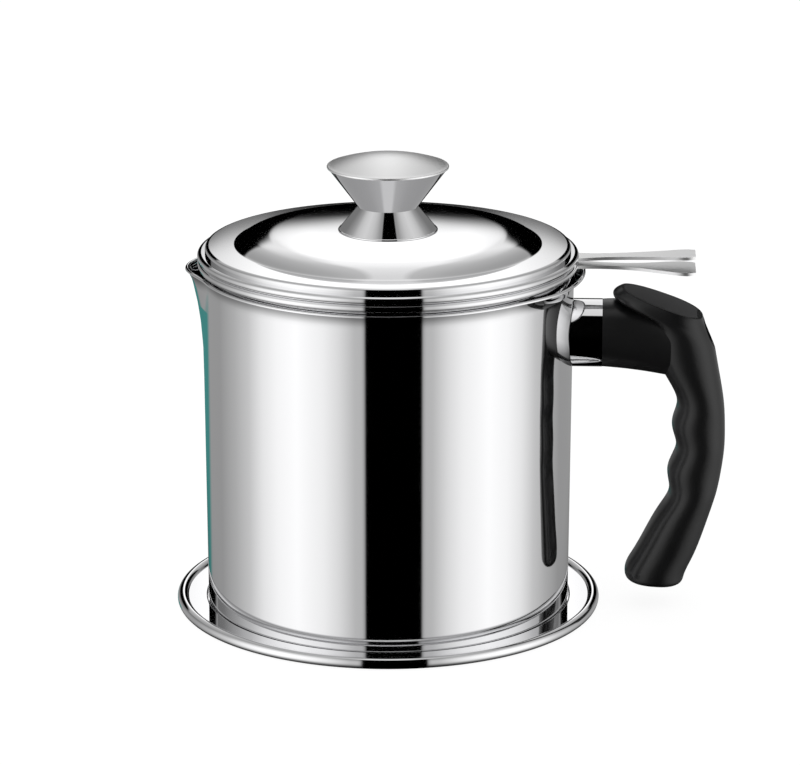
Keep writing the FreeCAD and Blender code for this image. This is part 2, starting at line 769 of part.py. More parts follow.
def make_handle():
    axis_z = ARM_HEIGHT.value
    arm = size("arm_radius").value
    wall = wall_radius(axis_z + arm)
    inside = wall - arm * 0.3
    ferrule_end = wall + size("ferrule_length").value
    stud_end = wall + size("stud_length").value
    bore = arm - size("ferrule_wall").value
    screw, gap = size("handle_screw_radius").value, size("screw_clearance").value
    seat = size("seat_clearance").value
    envelope = pot_envelope()

    ferrule = along_arm(arm + seat, inside, ferrule_end).cut(along_arm(bore, inside, ferrule_end))
    feature("handle_ferrule", ferrule.cut(envelope))

    pad = along_arm(arm * 0.75, inside, wall + size("stud_pad").value)
    stud = pad.fuse(along_arm(screw * 1.8, wall, stud_end)).cut(envelope)
    feature("handle_stud", stud.cut(along_arm(screw, wall + size("stud_pad").value / 2, stud_end)))

    head_seat = ferrule_end + size("handle_screw_grip").value
    beyond = ferrule_end + size("grip_reach").value
    up = FreeCAD.Vector(0, 0, 1)
    sag = arm * 0.26
    arm_solid = Part.makeLoft([
        oval(FreeCAD.Vector(ferrule_end, 0, axis_z), up, arm, arm, 2.0),
        oval(FreeCAD.Vector(ferrule_end + arm * 0.9, 0, axis_z - sag * 0.17), up, arm * 1.03, arm * 0.98, 2.1),
        oval(FreeCAD.Vector(ferrule_end + arm * 2, 0, axis_z - sag), up, arm * 0.98, arm * 0.91, 2.3),
    ], True)
    spigot = along_arm(bore - seat, stud_end + gap, ferrule_end)
    grip = Part.makeLoft(grip_sections(ferrule_end), True).fuse([arm_solid, spigot])
    grip = grip.cut(along_arm(screw + gap, stud_end, head_seat)).cut(along_arm(screw * 2, head_seat, beyond))
    inlay = inlay_shape(ferrule_end)
    feature("handle_grip", grip.cut(inlay))
    feature("thumb_rest_inlay", inlay)

    washer_end = head_seat + size("handle_washer").value
    washer = along_arm(screw * 1.8, head_seat, washer_end).cut(along_arm(screw + seat, head_seat, washer_end))
    feature("handle_lock_washer", washer)
    feature("handle_screw", screw_with_head(wall + size("stud_pad").value / 2 + seat, washer_end))


def screw_with_head(tip, head_foot):
    """The long screw along the arm, with a cross recess in its round head."""
    screw, height = size("handle_screw_radius").value, size("handle_screw_head").value
    head_end = head_foot + height
    head = along_arm(screw * 1.8, head_foot, head_end)
    depth, length, breadth = height * 0.45, screw * 2.2, screw * 0.4
    for turn in (0, 90):
        slot = Part.makeBox(depth, length, breadth, FreeCAD.Vector(0, -length / 2, -breadth / 2))
        slot.rotate(FreeCAD.Vector(), FreeCAD.Vector(1, 0, 0), turn)
        slot.translate(FreeCAD.Vector(head_end - depth, 0, ARM_HEIGHT.value))
        head = head.cut(slot)
    return head.fuse(along_arm(screw, tip, head_foot)).removeSplitter()


def inlay_shape(ferrule_end):
    """The inlay follows the top of the grip and ends in a straight edge towards the outside."""
    centre, along, half = station_line(GRIP_STATIONS[0], ferrule_end)
    normal = along.cross(FreeCAD.Vector(0, 1, 0))
    if normal.z < 0:
        normal = -normal
    margin = size("ferrule_wall").value
    slab = Part.Face(thumb_rest_outline(ferrule_end, margin)).extrude(normal * -size("inlay_thickness").value)
    span = half * 2
    cutter = Part.makeBox(span, span * 2, span * 2, FreeCAD.Vector(half * 0.86, -span, -span))
    cutter.Placement = FreeCAD.Placement(centre, FreeCAD.Rotation(along, FreeCAD.Vector(0, 1, 0), normal, "XYZ"))
    return slab.cut(cutter)


# ---------------------------------------------------------------- build, check and export

make_drip_tray()
make_pot_body()
make_handle()
make_fine_strainer()
make_coarse_strainer()
make_tab("fine_strainer_tab", FINE_RIM, FINE_FOOT + size("tab_thickness") * 0.4,
         size("fine_tab_tip_width"), -size("fine_tab_droop"))
make_tab("coarse_strainer_tab", COARSE_RIM, FINE_TOP + size("tab_thickness") * 0.6,
         size("coarse_tab_tip_width"), size("coarse_tab_rise"))
make_lid()
make_knob()
doc.recompute()

NODES = (
    "drip_tray", "pot_body", "handle_stud", "handle_ferrule", "handle_grip", "thumb_rest_inlay",
    "handle_screw", "handle_lock_washer", "fine_strainer_rim", "fine_strainer_mesh",
    "fine_strainer_band", "fine_strainer_tab", "coarse_strainer_dish", "coarse_strainer_tab",
    "lid_shell", "lid_locating_ring", "knob_base", "knob_cup", "knob_cap", "knob_screw",
    "knob_washer", "knob_nut",
)

for item in doc.Objects:
    if "Invalid" in item.State or "Error" in item.State:
        raise RuntimeError(f"{item.Name} failed: {item.State}")
by_label = {item.Label: item for item in doc.Objects}
for node in NODES:
    shape = by_label[node].Shape
    if shape.isNull() or not shape.isValid():
        raise RuntimeError(f"{node} has no valid shape")
os.makedirs("parts", exist_ok=True)
for node in NODES:
    by_label[node].Shape.exportStep(f"parts/{node}.step")
    box = by_label[node].Shape.BoundBox
    print(f"{node:22s} x {box.XMin:7.2f} {box.XMax:7.2f}  z {box.ZMin:7.2f} {box.ZMax:7.2f}",
          f"solids {len(by_label[node].Shape.Solids)}  volume {by_label[node].Shape.Volume:9.1f}")
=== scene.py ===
"""Dresses the grease strainer pot: spun steel pieces, woven mesh, finishes, studio and camera."""
import bpy
import bmesh
import math
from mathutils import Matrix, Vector


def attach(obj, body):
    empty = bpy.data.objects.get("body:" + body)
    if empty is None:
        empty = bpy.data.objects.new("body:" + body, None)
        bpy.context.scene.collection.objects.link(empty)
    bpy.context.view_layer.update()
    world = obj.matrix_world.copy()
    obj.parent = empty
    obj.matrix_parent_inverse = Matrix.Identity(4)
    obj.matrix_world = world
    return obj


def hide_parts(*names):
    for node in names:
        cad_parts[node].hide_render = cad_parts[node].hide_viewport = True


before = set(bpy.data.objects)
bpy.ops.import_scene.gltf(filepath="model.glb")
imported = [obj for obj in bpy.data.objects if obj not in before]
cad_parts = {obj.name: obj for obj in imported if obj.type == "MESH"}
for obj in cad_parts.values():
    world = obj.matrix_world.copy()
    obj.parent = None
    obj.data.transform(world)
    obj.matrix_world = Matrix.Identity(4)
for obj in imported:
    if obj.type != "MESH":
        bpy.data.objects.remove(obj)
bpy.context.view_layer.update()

MM = 0.001

# ---------------------------------------------------------------- camera

CAMERA_AZIMUTH = math.radians(3.0)
CAMERA_DISTANCE = 1190 * MM
CAMERA_HEIGHT = 418.2 * MM
CAMERA_PITCH = math.radians(16.12)
CAMERA_YAW = math.radians(0.187)
CAMERA_CLIP = 50 * MM
FRAME_WIDTH = 800
FOCAL_PIXELS = 3790
SENSOR_WIDTH = 36.0


def turned(x, y, angle):
    return x * math.cos(angle) - y * math.sin(angle), x * math.sin(angle) + y * math.cos(angle)


def make_camera():
    lens = bpy.data.cameras.new("main_camera")
    lens.sensor_width = SENSOR_WIDTH
    lens.lens = SENSOR_WIDTH * FOCAL_PIXELS / FRAME_WIDTH
    lens.clip_start = CAMERA_CLIP
    camera = bpy.data.objects.new("main_camera", lens)
    bpy.context.scene.collection.objects.link(camera)
    place = turned(0.0, -CAMERA_DISTANCE, CAMERA_AZIMUTH)
    camera.location = (place[0], place[1], CAMERA_HEIGHT)
    level = math.cos(CAMERA_PITCH)
    ahead = turned(math.sin(CAMERA_YAW) * level, math.cos(CAMERA_YAW) * level, CAMERA_AZIMUTH)
    look = Vector((ahead[0], ahead[1], -math.sin(CAMERA_PITCH)))
    camera.rotation_euler = look.to_track_quat("-Z", "Y").to_euler()
    bpy.context.scene.camera = camera


# ---------------------------------------------------------------- node helpers

MATH = "ShaderNodeMath"


def linear(hex_colour):
    """An sRGB hex colour as linear RGBA."""
    values = [int(hex_colour[place:place + 2], 16) / 255 for place in (1, 3, 5)]
    return [v / 12.92 if v <= 0.04045 else ((v + 0.055) / 1.055) ** 2.4 for v in values] + [1.0]


def pattern_scale(size):
    """The scale that makes a pattern's features this many millimetres across."""
    return 1 / (size * MM)


def add_node(tree, kind, inputs=None, **settings):
    """Adds a node. inputs are its sockets, by name or place: each a value, or a node or socket to link."""
    node = tree.nodes.new(kind)
    for name, value in settings.items():
        setattr(node, name, value)
    for key, value in (inputs or {}).items():
        if isinstance(value, bpy.types.Node):
            value = value.outputs[0]
        if isinstance(value, bpy.types.NodeSocket):
            tree.links.new(value, node.inputs[key])
        else:
            node.inputs[key].default_value = value
    return node


def new_material(name):
    material = bpy.data.materials.new(name)
    material.use_nodes = True
    material.node_tree.nodes.clear()
    return material, material.node_tree


def finish_material(tree, shader):
    add_node(tree, "ShaderNodeOutputMaterial", {"Surface": shader})


# ---------------------------------------------------------------- finishes

def polished_steel():
    """18/8 stainless, spun and buffed to a mirror: it shows the studio with hardly any blur."""
    material, tree = new_material("mirror_buffed_stainless")
    where = add_node(tree, "ShaderNodeTexCoord")
    # the buffing wheel leaves faint clouds about as wide as its contact
    buffing = add_node(tree, "ShaderNodeTexNoise", {
        "Vector": where.outputs["Object"], "Scale": pattern_scale(11.1), "Detail": 3.0})
    roughness = add_node(tree, "ShaderNodeMapRange", {"Value": buffing, "To Min": 0.03, "To Max": 0.06})
    shader = add_node(tree, "ShaderNodeBsdfPrincipled", {
        "Roughness": roughness, "Base Color": linear("#E6E6E7"), "Metallic": 1.0})
    finish_material(tree, shader)
    return material


def wire_steel():
    """Drawn stainless wire: bright, but its fine die marks blur what it shows."""
    material, tree = new_material("drawn_stainless_wire")
    where = add_node(tree, "ShaderNodeTexCoord")
    # real die marks are a few hundredths of a millimetre, drawn coarser so that they show
    marks = add_node(tree, "ShaderNodeTexNoise", {
        "Vector": where.outputs["Object"], "Scale": pattern_scale(0.556), "Detail": 2.0})
    roughness = add_node(tree, "ShaderNodeMapRange", {"Value": marks, "To Min": 0.18, "To Max": 0.34})
    shader = add_node(tree, "ShaderNodeBsdfPrincipled", {
        "Roughness": roughness, "Base Color": linear("#CFCFD0"), "Metallic": 1.0})
    finish_material(tree, shader)
    return material


def fastener_steel():
    """Bright zinc-plated steel: a cool tint, and a fine crystalline haze in the gloss."""
    material, tree = new_material("zinc_plated_fastener_steel")
    where = add_node(tree, "ShaderNodeTexCoord")
    plating = add_node(tree, "ShaderNodeTexNoise", {
        "Vector": where.outputs["Object"], "Scale": pattern_scale(1.11), "Detail": 4.0})
    roughness = add_node(tree, "ShaderNodeMapRange", {"Value": plating, "To Min": 0.2, "To Max": 0.42})
    tint = add_node(tree, "ShaderNodeMix", {
        "Factor": plating, 6: linear("#B4B8BE"), 7: linear("#D2D4D8")}, data_type="RGBA")
    shader = add_node(tree, "ShaderNodeBsdfPrincipled", {
        "Roughness": roughness, "Base Color": tint.outputs[2], "Metallic": 1.0})
    finish_material(tree, shader)
    return material


def satin_steel():
    """Stainless with a fine satin grain: its highlights spread, so it looks pale and soft."""
    material, tree = new_material("satin_ground_stainless")
    where = add_node(tree, "ShaderNodeTexCoord")
    # the real grit leaves marks of about 0.1 mm, drawn coarser so that they show
    grain = add_node(tree, "ShaderNodeTexNoise", {
        "Vector": where.outputs["Object"], "Scale": pattern_scale(0.833), "Detail": 2.0})
    roughness = add_node(tree, "ShaderNodeMapRange", {"Value": grain, "To Min": 0.30, "To Max": 0.40})
    shader = add_node(tree, "ShaderNodeBsdfPrincipled", {
        "Roughness": roughness, "Base Color": linear("#F4F4F4"), "Metallic": 1.0})
    finish_material(tree, shader)
    return material


def black_phenolic():
    """Compression-moulded phenolic: near black, with a soft broad gloss and broad flow marks."""
    material, tree = new_material("moulded_black_phenolic")
    where = add_node(tree, "ShaderNodeTexCoord")
    # the mould's skin, drawn coarser than its real 0.3 mm so that it shows
    skin = add_node(tree, "ShaderNodeTexNoise", {
        "Vector": where.outputs["Object"], "Scale": pattern_scale(0.714), "Detail": 2.0})
    bump = add_node(tree, "ShaderNodeBump", {"Height": skin, "Strength": 0.08, "Distance": 0.05 * MM})
    flow = add_node(tree, "ShaderNodeTexNoise", {
        "Vector": where.outputs["Object"], "Scale": pattern_scale(16.7), "Detail": 3.0})
    roughness = add_node(tree, "ShaderNodeMapRange", {"Value": flow, "To Min": 0.30, "To Max": 0.38})
    shader = add_node(tree, "ShaderNodeBsdfPrincipled", {
        "Normal": bump, "Roughness": roughness, "Base Color": linear("#0C0C0D"), "IOR": 1.5})
    finish_material(tree, shader)
    return material


def grey_inlay():
    """Dark grey soft-touch plastic: its fine matt grain takes all gloss away."""
    material, tree = new_material("matt_grey_soft_touch")
    where = add_node(tree, "ShaderNodeTexCoord")
    grain = add_node(tree, "ShaderNodeTexNoise", {
        "Vector": where.outputs["Object"], "Scale": pattern_scale(0.4), "Detail": 2.0})
    bump = add_node(tree, "ShaderNodeBump", {"Height": grain, "Strength": 0.15, "Distance": 0.05 * MM})
    shader = add_node(tree, "ShaderNodeBsdfPrincipled", {
        "Normal": bump, "Base Color": linear("#2E2E2F"), "Roughness": 0.6, "IOR": 1.45})
    finish_material(tree, shader)
    return material


STEEL = polished_steel()
WIRE = wire_steel()
SATIN = satin_steel()

# ---------------------------------------------------------------- studio

# what metal shows, as shares of this brightness
ROOM_LEVEL = 1.3418
# what light falls on everything else
AMBIENT = 0.75
# how far the black card's middle stands to the right of the front, in degrees
STRIPE_SHIFT = 1.7
# brightness round the upright walls, by degrees from the black card's middle
AROUND = (
    (0, 0.0), (8.6, 0.0), (9.3, 0.40), (12, 0.43), (17, 0.64), (22, 0.79), (31, 0.92), (38, 0.85),
    (44, 0.72), (50, 0.50), (57, 0.37), (66, 0.26), (90, 0.24), (120, 0.30), (180, 0.34))
# brightness by how far a surface faces up (+) or down (-), in degrees
UPRIGHT = (
    (-90, 0.10), (-45, 0.05), (-32, 0.08), (-22, 0.28), (-12, 0.66), (-4, 0.98), (6, 1.1), (16, 1.16),
    (28, 1.0), (38, 0.66), (60, 0.40), (90, 0.40))
# a surface that faces up by more than this, in degrees, shows the panel and the lights overhead
LYING_TILT = (44.0, 44.6)
# how far forward such a surface has to lean to be clear of the black panel behind, by its lean sideways
PANEL = (
    (0, -0.041), (0.08, -0.041), (0.09, -0.039), (0.10, -0.036), (0.11, -0.028), (0.12, -0.015),
    (0.144, -0.002), (0.25, 0.055), (0.37, 0.105), (0.48, 0.15), (0.64, 0.21), (0.76, 0.25), (1.0, 0.34))
# a ramp holds no number below nought, so the panel's leans are kept raised by this
PANEL_LIFT = 0.1
# brightness by how far past that edge of the panel it leans forward
CLEAR = (
    (-0.2, 0.0), (0.0, 0.0), (0.0035, 0.05), (0.0095, 0.25), (0.013, 0.42), (0.0156, 0.58), (0.019, 0.76),
    (0.023, 0.92), (0.03, 1.0), (1.0, 1.0))
# brightness by its lean forward
FORWARD = (
    (-1.0, 0.9), (0.0, 1.0), (0.03, 1.08), (0.05, 0.98), (0.07, 0.88), (0.127, 0.80), (0.235, 0.74),
    (0.45, 0.68), (0.72, 0.60), (1.0, 0.5))
# and by its lean sideways
SIDEWAYS = ((0, 1.0), (0.06, 1.0), (0.10, 0.70), (0.25, 0.56), (0.45, 0.46), (0.7, 0.36), (1.0, 0.3))
# a surface seen nearly edge-on fades to one level, because the halfway direction is hardly fixed there
GRAZING = (0.02, 0.10)
GRAZING_LEVEL = 0.3
# a teal card stands at the far left, in degrees round and up, and shows at the pot's left edge
TEAL_CARD = "#73DDD7"
TEAL_EDGE = (-74.0, -77.0)
TEAL_END = -91.0
TEAL_TILT = (-14.0, 10.0)
# the table: what lights the object from below, and what the camera sees
TABLE_HALF_WIDTH = 6.0
TABLE_PAINT = "#E7E7E7"
TABLE_SHADE = "#818181"
TABLE_GLOW = 0.88


def ramp(tree, value, steps):
    """Brightness along a value: steps are (place, brightness), from the lowest place to the highest."""
    low, high = steps[0][0], steps[-1][0]
    share = add_node(tree, "ShaderNodeMapRange", {"Value": value, "From Min": low, "From Max": high})
    node = add_node(tree, "ShaderNodeValToRGB", {"Fac": share})
    stops = node.color_ramp.elements
    while len(stops) < len(steps):
        stops.new(0.5)
    for stop, (place, level) in zip(stops, steps):
        stop.position = (place - low) / (high - low)
        stop.color = (level, level, level, 1.0)
    return node


def upright_light(tree, azimuth, tilt):
    """The black card and the two soft boxes, as an upright wall shows them."""
    from_front = add_node(tree, MATH, {0: azimuth, 1: STRIPE_SHIFT}, operation="SUBTRACT")
    from_card = add_node(tree, MATH, {0: from_front}, operation="ABSOLUTE")
    around = ramp(tree, from_card, AROUND)
    up_and_down = ramp(tree, tilt, UPRIGHT)
    return add_node(tree, MATH, {0: around, 1: up_and_down}, operation="MULTIPLY")


def lying_light(tree, ahead, across):
    """The black panel behind and the grey fall in front of it, as a lid or a tray shows them."""
    edge = ramp(tree, across, tuple((lean, forward + PANEL_LIFT) for lean, forward in PANEL))
    beyond = add_node(tree, MATH, {0: ahead, 1: edge}, operation="SUBTRACT")
    past = add_node(tree, MATH, {0: beyond, 1: PANEL_LIFT}, operation="ADD")
    clear = ramp(tree, past, CLEAR)
    forward = ramp(tree, ahead, FORWARD)
    sideways = ramp(tree, across, SIDEWAYS)
    leaning = add_node(tree, MATH, {0: forward, 1: sideways}, operation="MULTIPLY")
    return add_node(tree, MATH, {0: clear, 1: leaning}, operation="MULTIPLY")


def teal_share(tree, azimuth, tilt):
    """How much of the teal card shows, from 0 to 1."""
    share = add_node(tree, "ShaderNodeMapRange", {
        "Value": azimuth, "From Min": TEAL_EDGE[0], "From Max": TEAL_EDGE[1]})
    for place, operation, limit in (
            (tilt, "GREATER_THAN", TEAL_TILT[0]), (tilt, "LESS_THAN", TEAL_TILT[1]),
            (azimuth, "GREATER_THAN", TEAL_END)):
        within = add_node(tree, MATH, {0: place, 1: limit}, operation=operation)
        share = add_node(tree, MATH, {0: share, 1: within}, operation="MULTIPLY")
    return share


def make_world():
    """A white room with a black card in front, grey falls beside two soft boxes and a black panel behind.

    The light is laid out by the halfway direction between the room and the front of the table, so that
    the card and the boxes stand as straight bands on the pot, its flare, its rims and its knob.
    """
    world = bpy.data.worlds.new("studio")
    bpy.context.scene.world = world
    world.use_nodes = True
    tree = world.node_tree
    tree.nodes.clear()
    where = add_node(tree, "ShaderNodeTexCoord")
    room_way = add_node(tree, "ShaderNodeMapping", {
        "Vector": where.outputs["Generated"], "Rotation": (0.0, 0.0, -CAMERA_AZIMUTH)})
    front = (0.0, -math.cos(CAMERA_PITCH), math.sin(CAMERA_PITCH))
    toward = add_node(tree, "ShaderNodeVectorMath", {0: room_way, 1: front}, operation="ADD")
    halfway = add_node(tree, "ShaderNodeVectorMath", {0: toward}, operation="NORMALIZE")
    facing = add_node(tree, "ShaderNodeVectorMath", {0: halfway, 1: front}, operation="DOT_PRODUCT")
    part = add_node(tree, "ShaderNodeSeparateXYZ", {"Vector": halfway})
    side = part.outputs["X"]
    ahead = add_node(tree, MATH, {0: part.outputs["Y"], 1: -1.0}, operation="MULTIPLY")
    across = add_node(tree, MATH, {0: side}, operation="ABSOLUTE")
    bearing = add_node(tree, MATH, {0: side, 1: ahead}, operation="ARCTAN2")
    azimuth = add_node(tree, MATH, {0: bearing}, operation="DEGREES")
    rise = add_node(tree, MATH, {0: part.outputs["Z"]}, operation="ARCSINE")
    tilt = add_node(tree, MATH, {0: rise}, operation="DEGREES")

    lying = add_node(tree, "ShaderNodeMapRange", {
        "Value": tilt, "From Min": LYING_TILT[0], "From Max": LYING_TILT[1],
    }, interpolation_type="SMOOTHSTEP")
    cards = add_node(tree, "ShaderNodeMix", {
        "Factor": lying, 2: upright_light(tree, azimuth, tilt), 3: lying_light(tree, ahead, across),
    }, data_type="FLOAT")
    sight = add_node(tree, "ShaderNodeMapRange", {
        "Value": facing.outputs["Value"], "From Min": GRAZING[0], "From Max": GRAZING[1],
    }, interpolation_type="SMOOTHSTEP")
    steady = add_node(tree, "ShaderNodeMix", {"Factor": sight, 2: GRAZING_LEVEL, 3: cards}, data_type="FLOAT")
    room = add_node(tree, MATH, {0: steady, 1: ROOM_LEVEL}, operation="MULTIPLY")

    # metal shows the room, everything else is lit evenly, and the camera sees plain white
    path = add_node(tree, "ShaderNodeLightPath")
    mirrored = add_node(tree, MATH, {
        0: path.outputs["Is Glossy Ray"], 1: path.outputs["Is Transmission Ray"]}, operation="MAXIMUM")
    shown = add_node(tree, "ShaderNodeMix", {"Factor": mirrored, 2: AMBIENT, 3: room}, data_type="FLOAT")
    seen = add_node(tree, "ShaderNodeMix", {
        "Factor": path.outputs["Is Camera Ray"], 2: shown, 3: 1.0}, data_type="FLOAT")
    teal = add_node(tree, MATH, {0: teal_share(tree, azimuth, tilt), 1: mirrored}, operation="MULTIPLY")
    hue = add_node(tree, "ShaderNodeMix", {
        "Factor": teal, 6: linear("#FFFFFF"), 7: linear(TEAL_CARD)}, data_type="RGBA")
    light = add_node(tree, "ShaderNodeBackground", {"Color": hue.outputs[2], "Strength": seen})
    add_node(tree, "ShaderNodeOutputWorld", {"Surface": light})


def make_floor():
    """A wide white table; its own faint glow keeps it white while the pot's shadow still shows."""
    mesh = bpy.data.meshes.new("studio_table")
    form = bmesh.new()
    bmesh.ops.create_grid(form, x_segments=2, y_segments=2, size=TABLE_HALF_WIDTH)
    form.to_mesh(mesh)
    form.free()
    table = bpy.data.objects.new("studio_table", mesh)
    bpy.context.scene.collection.objects.link(table)
    table.visible_glossy = False
    material, tree = new_material("white_table")
    path = add_node(tree, "ShaderNodeLightPath")
    paint = add_node(tree, "ShaderNodeBsdfDiffuse", {"Color": linear(TABLE_PAINT)})
    shade = add_node(tree, "ShaderNodeBsdfDiffuse", {"Color": linear(TABLE_SHADE)})
    glow = add_node(tree, "ShaderNodeEmission", {"Strength": TABLE_GLOW})
    seen = add_node(tree, "ShaderNodeAddShader", {0: shade, 1: glow})
    mix = add_node(tree, "ShaderNodeMixShader", {0: path.outputs["Is Camera Ray"], 1: paint, 2: seen})
    finish_material(tree, mix)
    mesh.materials.append(material)


# ---------------------------------------------------------------- spun pieces

TURN_SEGMENTS = 240
ARC_STEP = math.radians(7.0)
LONGEST_ARC_RUN = 1.2
EDGE_SUPPORT = 0.08
SHARP_ANGLE = math.radians(32.0)
# a point nearer to the axis than this many millimetres is on it
ON_AXIS = 1e-6
# points nearer to each other than this many metres are one
MERGE_DISTANCE = 1e-7


def arc_points(start, end, radius, turn):
    """Points after start along the minor arc to end; turn is +1 for anticlockwise."""
    (x0, y0), (x1, y1) = start, end
    chord = math.hypot(x1 - x0, y1 - y0)
    height = math.sqrt(max(radius ** 2 - (chord / 2) ** 2, 0.0)) * turn
    centre = ((x0 + x1) / 2 - (y1 - y0) / chord * height, (y0 + y1) / 2 + (x1 - x0) / chord * height)
    first = math.atan2(y0 - centre[1], x0 - centre[0])
    sweep = 2 * math.asin(min(chord / (2 * radius), 1.0)) * turn
    count = max(2, math.ceil(abs(sweep) / ARC_STEP), math.ceil(abs(sweep) * radius / LONGEST_ARC_RUN))
    return [(centre[0] + radius * math.cos(first + sweep * step / count),
             centre[1] + radius * math.sin(first + sweep * step / count)) for step in range(1, count + 1)]


def line_points(start, end):
    """The end of a straight run, with a close point at each end so that the light stays even along it."""
    length = math.hypot(end[0] - start[0], end[1] - start[1])
    if length < EDGE_SUPPORT * 4:
        return [end]
    share = EDGE_SUPPORT / length
    return [(start[0] + (end[0] - start[0]) * part, start[1] + (end[1] - start[1]) * part)
            for part in (share, 1 - share)] + [end]


def traced(outline):
    """The points of an outline: (x, y) ends a straight run, and (x, y, radius, turn) ends an arc."""
    points = []
    for index, step in enumerate(outline):
        before = outline[index - 1][:2]
        if len(step) == 4:
            points += arc_points(before, step[:2], step[2], step[3])
        else:
            points += line_points(before, step)
    return points


def spun_mesh(name, outline, swell=None):
    """Turns a closed outline about the upright axis; swell(angle, height) widens it where it isn't round."""
    form = bmesh.new()
    rings = []
    for radius, height in traced(outline):
        if radius < ON_AXIS:
            rings.append([form.verts.new((0.0, 0.0, height * MM))])
            continue
        ring = []
        for index in range(TURN_SEGMENTS):
            angle = 2 * math.pi * index / TURN_SEGMENTS
            wide = (radius + (swell(math.degrees(angle), height) if swell else 0.0)) * MM
            ring.append(form.verts.new((wide * math.cos(angle), wide * math.sin(angle), height * MM)))
        rings.append(ring)
    for index, ring in enumerate(rings):
        lower = rings[index - 1]
        if len(ring) == 1 and len(lower) == 1:
            continue
        for step in range(TURN_SEGMENTS):
            after = (step + 1) % TURN_SEGMENTS
            if len(lower) == 1:
                form.faces.new((lower[0], ring[after], ring[step]))
            elif len(ring) == 1:
                form.faces.new((lower[step], lower[after], ring[0]))
            else:
                form.faces.new((lower[step], lower[after], ring[after], ring[step]))
    bmesh.ops.remove_doubles(form, verts=form.verts, dist=MERGE_DISTANCE)
    bmesh.ops.recalc_face_normals(form, faces=form.faces)
    mesh = bpy.data.meshes.new(name)
    form.to_mesh(mesh)
    form.free()
    smooth_faces(mesh)
    return mesh


def smooth_faces(mesh):
    mesh.shade_smooth()
    mesh.set_sharp_from_angle(angle=SHARP_ANGLE)


def place_piece(name, mesh, material, body, replaced):
    piece = bpy.data.objects.new(name, mesh)
    bpy.context.scene.collection.objects.link(piece)
    piece.data.materials.clear()
    piece.data.materials.append(material)
    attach(piece, body)
    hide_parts(replaced)


def spun_piece(name, outline, body, replaced, material=STEEL, swell=None):
    place_piece(name, spun_mesh(name, outline, swell), material, body, replaced)


def bow_radius(half_span, rise):
    return (half_span ** 2 + rise ** 2) / (2 * rise)


# levels and radii in millimetres, in the frame of the solids
SHEET = 0.6
TRAY_RADIUS = 69.78
TRAY_BEAD_ROLL = 1.9
TRAY_SEAT_RADIUS = 59.8
POT_FOOT = 0.6
POT_BASE_RADIUS = 59.5
POT_TOP_RADIUS = 60.2
POT_CORNER = 2.0
MOUTH_TOP = 112.5
FLARE_FOOT = 108.3
FLARE_REACH = 0.9
RIM_ROLL = 0.7
# rings on the pot's wall that let the spout grow smoothly, as shares of the wall down from the flare
WALL_RINGS = (0.5, 0.3, 0.2, 0.12, 0.06)
SPOUT_REACH = 4.4
SPOUT_DROP = 33.0
SPOUT_HALF_ANGLE = 21.0
# the spout's width at its foot, as a share of its width at the mouth, and how late it swings out
SPOUT_FOOT_SHARE = 0.5
SPOUT_GROWTH = 2.2
TAB_REST_REACH = 2.5
TAB_REST_HALF_ANGLE = 48.0
FINE_FOOT = 113.95
FINE_TOP = 116.55
COARSE_TOP = 119.1
COLLAR_RADIUS = 59.4
COLLAR_FOOT = 102.15
RING_RADIUS = 61.7
DISH_RADIUS = 57.3
DISH_FLOOR_RADIUS = 52.5
DISH_FLOOR = 102.75
DISH_CORNER = 2.4
HOLE_RADIUS = 1.7
HOLE_RING_PITCH = 9.6
HOLE_RINGS = 4
HOLE_SIDES = 28
PUNCH_LENGTH = 4.0
LID_RADIUS = 59.2
LID_FLANGE = 121.45
LID_FLANGE_FALL = 0.16
LID_EDGE = 1.2
LID_FLANGE_WIDTH = 9.4
LID_FOOT_ROUND = 1.6
LID_LEAN = math.radians(45.0)
LID_SHOULDER = 8.8
# the crown's own leans and the radii at which they are reached
CROWN_RIM_LEAN = math.radians(8.0)
CROWN_LEAN = math.radians(2.1)
CROWN_RADIUS = 37.0
CROWN_START = 12.0
KNOB_SHEET = 0.8
KNOB_FOOT = 125.45
KNOB_BASE_RADIUS = 16.1
KNOB_WAIST_RADIUS = 9.7
KNOB_WAIST = 133.6
KNOB_RIM_RADIUS = 19.7
KNOB_RIM = 146.3
KNOB_TOP = 150.4
# the cup's wall leans, so it measures more across than its sheet
CUP_WALL = 0.96
# the cap's edge: its round at the top, its smaller round at the bottom, and how far it laps in
CAP_EDGE = 0.4
CAP_LIP = 0.24
CAP_LAP = 1.28
# how much flatter the cap's inside is than its outside
CAP_INSIDE_FALL = 0.14
SCREW_HOLE = 2.8
KNOB_PIECES = ("knob_cone_foot", "knob_cup_shell", "knob_domed_cap", "knob_screw", "knob_nut", "knob_washer")


def make_tray():
    """Tray with a seat pressed down under the pot, a flat land round it and a round rolled bead."""
    t, roll = SHEET, TRAY_BEAD_ROLL
    spine, land, seat = TRAY_RADIUS - roll, roll + SHEET, TRAY_SEAT_RADIUS
    meets = spine - math.sqrt(roll ** 2 - t ** 2)
    spun_piece("tray_with_rolled_edge", [
        (0, 0), (seat + t, 0), (seat + t, roll), (spine - roll, roll),
        (spine, 0, roll, 1), (TRAY_RADIUS, roll, roll, 1), (spine, roll * 2, roll, 1), (meets, land, roll, 1),
        (seat + t, land), (seat, land - t, t, 1), (seat, t), (0, t),
    ], "drip_tray", "drip_tray")


def smooth_fade(share):
    share = min(max(share, 0.0), 1.0)
    return share ** 2 * (3 - 2 * share)


